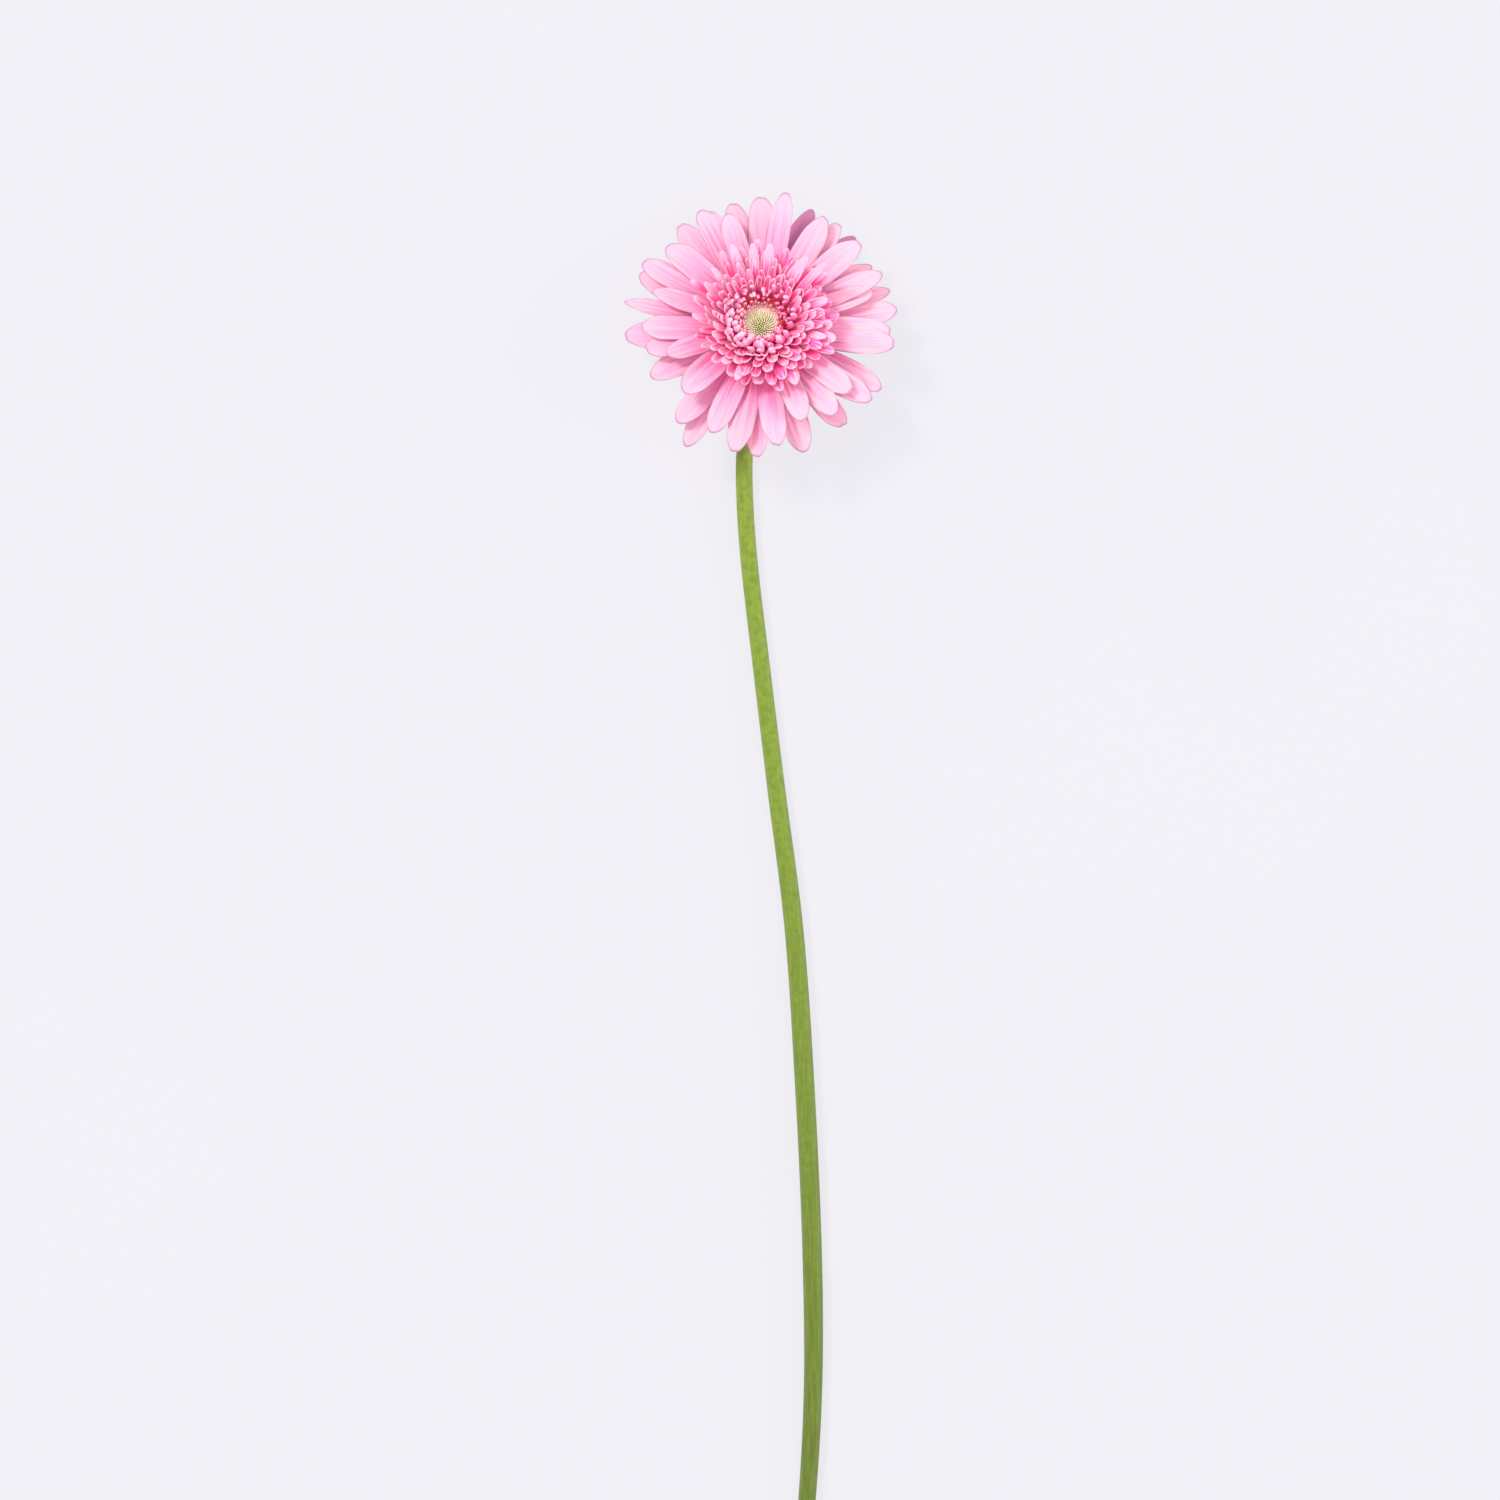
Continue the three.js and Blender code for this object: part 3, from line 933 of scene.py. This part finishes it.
class GERBERA_OT_receptacle(bpy.types.Operator):
    """Turn the fleshy green base that every floret stands on"""

    bl_idname = "gerbera.receptacle"
    bl_label = "Receptacle"

    def execute(self, context):
        head = head_place()
        shape = new_shape()
        grain = shape.verts.layers.float_vector["grain"]
        verts = [shape.verts.new((radius * MM, 0, height * MM)) for radius, height in RECEPTACLE]
        edges = [shape.edges.new(pair) for pair in zip(verts, verts[1:])]
        bmesh.ops.spin(
            shape,
            geom=verts + edges,
            cent=(0, 0, 0),
            axis=(0, 0, 1),
            angle=2 * math.pi,
            steps=48,
            use_merge=True,
        )
        bmesh.ops.holes_fill(shape, edges=shape.edges)
        bmesh.ops.recalc_face_normals(shape, faces=shape.faces)
        for face in shape.faces:
            middle = face.calc_center_median()
            if middle.z > -0.6 * MM and middle.xy.length > 5 * MM:
                face.material_index = 1
        for vert in shape.verts:
            angle = math.atan2(vert.co.y, vert.co.x)
            vert.co *= 1 + 0.02 * math.cos(13 * angle)
            vert[grain] = (math.cos(angle), 0.0, 0.5)
            vert.co = head @ vert.co
        paints = context.scene.gerbera_colours
        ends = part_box("receptacle")[0].y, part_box("receptacle")[1].y
        skin = green_material("Receptacle skin", paints.bract, paints.stem_top, ends, sheen=0.3)
        show(shape, "receptacle", [skin, inner_material()])
        return {"FINISHED"}


class GERBERA_OT_bracts(bpy.types.Operator):
    """Wrap the base in three whorls of narrow bracts"""

    bl_idname = "gerbera.bracts"
    bl_label = "Bracts"

    def execute(self, context):
        paints = context.scene.gerbera_colours
        sizes = context.scene.gerbera_sizes
        skin = petal_material(
            "Bract",
            (paints.stem_top, paints.bract, paints.bract_tip, paints.stem_top),
            veins=9.0,
            streaks=6.0,
            reach=(0.5, 0.8),
            shares=(0.35, 0.45),
            roughness=0.7,
            through=0.0,
        )
        for number, (node, rows) in enumerate(BRACT_ROWS.items()):
            chance = random.Random(sizes.seed * 100 + number)
            shape = new_shape()
            add_rows(shape, rows, chance, BRACT_GRID, 0.4, bract_outline, jitter=0.5)
            show(shape, node, [skin], sizes.floret_thickness)
        return {"FINISHED"}


class GERBERA_OT_ray_petals(bpy.types.Operator):
    """Set the long ray petals round the rim, each with its own curl, grooves and tip"""

    bl_idname = "gerbera.ray_petals"
    bl_label = "Ray petals"

    def execute(self, context):
        head = head_place()
        sizes = context.scene.gerbera_sizes
        for number, ray in enumerate(RAYS, 1):
            chance = random.Random(sizes.seed * 1000 + number)
            node = f"ray_petal_{number:02d}"
            # Tone varies at random for each petal and also carries painted shade: petals towards the flower's
            # left get a deeper pink.
            tone = 0.5 + 0.25 * math.cos(math.radians(ray[0] - 200)) + chance.uniform(-0.25, 0.25)
            # The lowest-level petals at the upper right lie in shade and get the painted shade face.
            materials = ray_materials(in_painted_shade=ray[3] == 4 and 40 < ray[0] < 90)
            shape = new_shape()
            place = ray_place(ray, chance, sizes.groove_depth / MM)
            add_sheet(shape, *RAY_GRID, place, clock_matrix(head, ray[0]), tone)
            show(shape, node, materials, sizes.petal_thickness)
        return {"FINISHED"}


class GERBERA_OT_trans_florets(bpy.types.Operator):
    """Fill the crown with rows of channelled florets that grow shorter towards the eye"""

    bl_idname = "gerbera.trans_florets"
    bl_label = "Trans florets"

    def execute(self, context):
        sizes = context.scene.gerbera_sizes
        for number, (node, rows) in enumerate(TRANS_ROWS.items()):
            chance = random.Random(sizes.seed * 10 + number)
            shape = new_shape()
            add_rows(shape, rows, chance, TRANS_GRID, 0.21, trans_outline)
            add_hooded(shape, HOODED_ROWS.get(node, []), chance)
            if node == "trans_florets_2":
                self.add_long(shape, rows[0], chance)
            skin = inner_material() if node in HOODED_ROWS else trans_material()
            show(shape, node, [skin], sizes.floret_thickness)
        return {"FINISHED"}

    def add_long(self, shape, row, chance):
        """Adds the few long florets to a whorl, shaped after one of its rows."""
        head = head_place()
        for clock, longer, broader in LONG_FLORETS:
            own = (*row[:4], row[4] * 1.2 * longer, 1, row[6] * 1.1 * broader, 16, 0)
            place = strap_place(own, chance, 0.28, trans_outline, jitter=0.4)
            add_sheet(shape, *LONG_GRID, place, clock_matrix(head, clock), -0.2)


class GERBERA_OT_inner_florets(bpy.types.Operator):
    """Crowd hooded florets, swelling buds and a few anthers round the eye"""

    bl_idname = "gerbera.inner_florets"
    bl_label = "Inner florets"

    def execute(self, context):
        sizes = context.scene.gerbera_sizes
        materials = [inner_material(), self.anther_material(context)]
        for number, node in enumerate(("inner_florets_1", "inner_florets_2")):
            chance = random.Random(sizes.seed * 10 + 5 + number)
            shape = new_shape()
            add_hooded(shape, HOODED_ROWS[node], chance)
            if node == "inner_florets_2":
                plain = len(shape.faces)
                self.add_anthers(shape, chance)
                shape.faces.ensure_lookup_table()
                for face in shape.faces[plain:]:
                    face.material_index = 1
            show(shape, node, materials)
        return {"FINISHED"}

    def add_anthers(self, shape, chance):
        """Anthers stand between the buds, most of them on the upper and right side."""
        head = head_place()
        count = ANTHER_ROW[5]
        for i in range(count):
            clock = i * 360 / count
            kept = 0.9 if clock < 170 or clock > 320 else 0.2
            place = hooded_place(ANTHER_ROW, chance)
            if chance.random() < kept:
                turn = clock_matrix(head, clock + chance.uniform(-4, 4))
                add_club(shape, place, turn, chance.random(), 6, 8)

    def anther_material(self, context):
        """Orange-red anthers, deeper at the foot."""
        paints = context.scene.gerbera_colours
        anther, foot = paints.anther, paints.inner_foot
        return petal_material(
            "Anther", (foot, anther, anther, anther), 3.0, 2.0, (0.4, 0.8), (0.0, 0.2)
        )


class GERBERA_OT_disc(bpy.types.Operator):
    """Spiral the closed buds of the eye over a low dome"""

    bl_idname = "gerbera.disc"
    bl_label = "Disc florets"

    def execute(self, context):
        head = head_place()
        sizes = context.scene.gerbera_sizes
        chance = random.Random(sizes.seed)
        shape = new_shape()
        golden = math.pi * (3 - math.sqrt(5))
        count = sizes.bud_count
        for i in range(count):
            share = math.sqrt((i + 0.5) / count)
            radius = EYE_RADIUS * share
            height = EYE_RIM + EYE_RISE * (1 - share**2)
            width = (0.3 + 0.14 * share) * chance.uniform(0.85, 1.15)
            length = (2.2 + 2.0 * share**2) * chance.uniform(0.8, 1.2)
            angle = golden * i
            spot = (
                head
                @ Matrix.Rotation(angle, 4, "Z")
                @ Matrix.Translation((radius * MM, 0, height * MM))
                @ Matrix.Rotation(BUD_LEAN * share, 4, "Y")
            )

            def place(across, through, along_bud):
                girth = 1.15 - 0.55 * along_bud
                return Vector((across * width * girth, through * width * girth, along_bud * length))

            add_club(shape, place, spot, share, 6, 6)
        paints = context.scene.gerbera_colours
        skin = self.bud_material(paints)
        show(shape, "disc_florets", [skin])
        return {"FINISHED"}

    def bud_material(self, paints):
        """Yellow-green buds, greener at the very middle and blushed at the outside, with a faint pale painted
        glow that lightens the shaded gaps of the eye.
        """
        material, tree, skin = new_material("Eye buds", 0.6, sheen=0.1, through=0.13)
        # Painted glow: a pale yellow emission that lifts the shade between the buds.
        skin.inputs["Emission Color"].default_value = rgba(tint("D8C8A0"))
        grain = petal_grain(tree, 4.0, 2.0, 0.9)
        middle = span(tree, grain["Tone"], 0.1, 0.45)
        body = blend(tree, middle, rgba(paints.eye_middle), rgba(paints.eye))
        blush = span(tree, grain["Tone"], 0.56, 0.86, 0.0, 0.9)
        body = blend(tree, blush, body, rgba(paints.inner_tip))
        deep = span(tree, grain["Along"], 0.0, 0.5, 0.9, 0.0)
        body = blend(tree, deep, body, rgba(tint("E8E4B4")))
        pale = span(tree, grain["Streak"], 0.4, 0.7, 0.0, 0.4)
        body = blend(tree, pale, body, rgba(tint("F0EEC0")))
        tree.links.new(body, skin.inputs["Base Color"])
        return material


class GERBERA_OT_stage(bpy.types.Operator):
    """Set the pale table, the soft light and the camera that looks down on the flower"""

    bl_idname = "gerbera.stage"
    bl_label = "Stage"

    def execute(self, context):
        stage = context.scene.gerbera_stage
        self.table(stage)
        self.lights(context, stage)
        self.camera(context, stage)
        context.scene.view_settings.view_transform = "Standard"
        return {"FINISHED"}

    def table(self, stage):
        """A pale table that is dark by itself and glows, so that shadows on it stay faint."""
        shape = bmesh.new()
        bmesh.ops.create_grid(shape, x_segments=1, y_segments=1, size=TABLE_HALF)
        mesh = bpy.data.meshes.new("Table")
        shape.to_mesh(mesh)
        shape.free()
        table = bpy.data.objects.new("Table", mesh)
        bpy.context.scene.collection.objects.link(table)
        material, tree, skin = new_material("Table paper", 0.9)
        place = put(tree, "ShaderNodeTexCoord").outputs["Object"]
        cloud = put(tree, "ShaderNodeTexNoise", {"Vector": place, "Scale": 3.0, "Detail": 2.0})
        shade = span(tree, cloud.outputs[0], 0.3, 0.7, 0.0, 0.06)
        body = blend(tree, shade, rgba(stage.floor), rgba(tint("9A9BA0")))
        body = blend(tree, 0.88, body, rgba((0, 0, 0)))
        tree.links.new(body, skin.inputs["Base Color"])
        skin.inputs["Specular IOR Level"].default_value = 0.1
        skin.inputs["Emission Color"].default_value = rgba(stage.floor)
        skin.inputs["Emission Strength"].default_value = stage.glow
        mesh.materials.append(material)

    def lights(self, context, stage):
        world = bpy.data.worlds.new("Studio")
        world.use_nodes = True
        sky = world.node_tree.nodes["Background"]
        sky.inputs["Color"].default_value = rgba(tint("F1EFFF"))
        sky.inputs["Strength"].default_value = stage.sky
        context.scene.world = world
        self.sun(context, "Key", stage.key, KEY_SPREAD, KEY_FROM)
        self.sun(context, "Rim", stage.rim, RIM_SPREAD, RIM_FROM)

    def sun(self, context, name, strength, spread, towards):
        lamp = bpy.data.lights.new(name, "SUN")
        lamp.energy = strength
        lamp.color = tint("FFFAF3")
        lamp.angle = math.radians(spread)
        sun = bpy.data.objects.new(name, lamp)
        sun.rotation_euler = towards.to_track_quat("Z", "Y").to_euler()
        context.scene.collection.objects.link(sun)

    def camera(self, context, stage):
        head = head_place()
        eye = head @ Vector((0, 0, EYE_HEIGHT * MM))
        past = stage.look_past
        view_up = Vector((0, math.cos(past), -math.sin(past)))
        target = eye + Vector((-VIEW_LEFT * MM, 0, 0)) - view_up * VIEW_DOWN * MM
        lens = bpy.data.cameras.new("Camera")
        lens.lens = stage.lens
        lens.sensor_width = SENSOR
        lens.clip_end = 20
        distance = stage.frame_width * stage.lens / SENSOR
        camera = bpy.data.objects.new("Camera", lens)
        camera.rotation_euler = (-past, 0, 0)
        camera.location = target + Vector((0, math.sin(past), math.cos(past))) * distance
        context.scene.collection.objects.link(camera)
        context.scene.camera = camera


class GERBERA_PT_panel(bpy.types.Panel):
    """Lists what the flower is grown from"""

    bl_idname = "GERBERA_PT_panel"
    bl_label = "Gerbera"
    bl_space_type = "VIEW_3D"
    bl_region_type = "UI"
    bl_category = "Gerbera"

    def draw(self, context):
        for operator in OPERATORS:
            self.layout.operator(operator.bl_idname)
        for group in SETTINGS:
            settings = getattr(context.scene, group)
            for name in settings.__annotations__:
                self.layout.prop(settings, name)


SETTINGS = {
    "gerbera_sizes": GerberaSizes,
    "gerbera_colours": GerberaColours,
    "gerbera_stage": GerberaStage,
}

OPERATORS = (
    GERBERA_OT_stem,
    GERBERA_OT_receptacle,
    GERBERA_OT_bracts,
    GERBERA_OT_ray_petals,
    GERBERA_OT_trans_florets,
    GERBERA_OT_inner_florets,
    GERBERA_OT_disc,
    GERBERA_OT_stage,
)


def register():
    for group, kind in SETTINGS.items():
        bpy.utils.register_class(kind)
        setattr(bpy.types.Scene, group, PointerProperty(type=kind))
    for kind in (*OPERATORS, GERBERA_PT_panel):
        bpy.utils.register_class(kind)


def unregister():
    for kind in reversed((*OPERATORS, GERBERA_PT_panel)):
        bpy.utils.unregister_class(kind)
    for group, kind in SETTINGS.items():
        delattr(bpy.types.Scene, group)
        bpy.utils.unregister_class(kind)


def main():
    register()
    for operator in OPERATORS:
        getattr(bpy.ops.gerbera, operator.bl_idname.split(".")[1])()


if __name__ == "__main__":
    main()
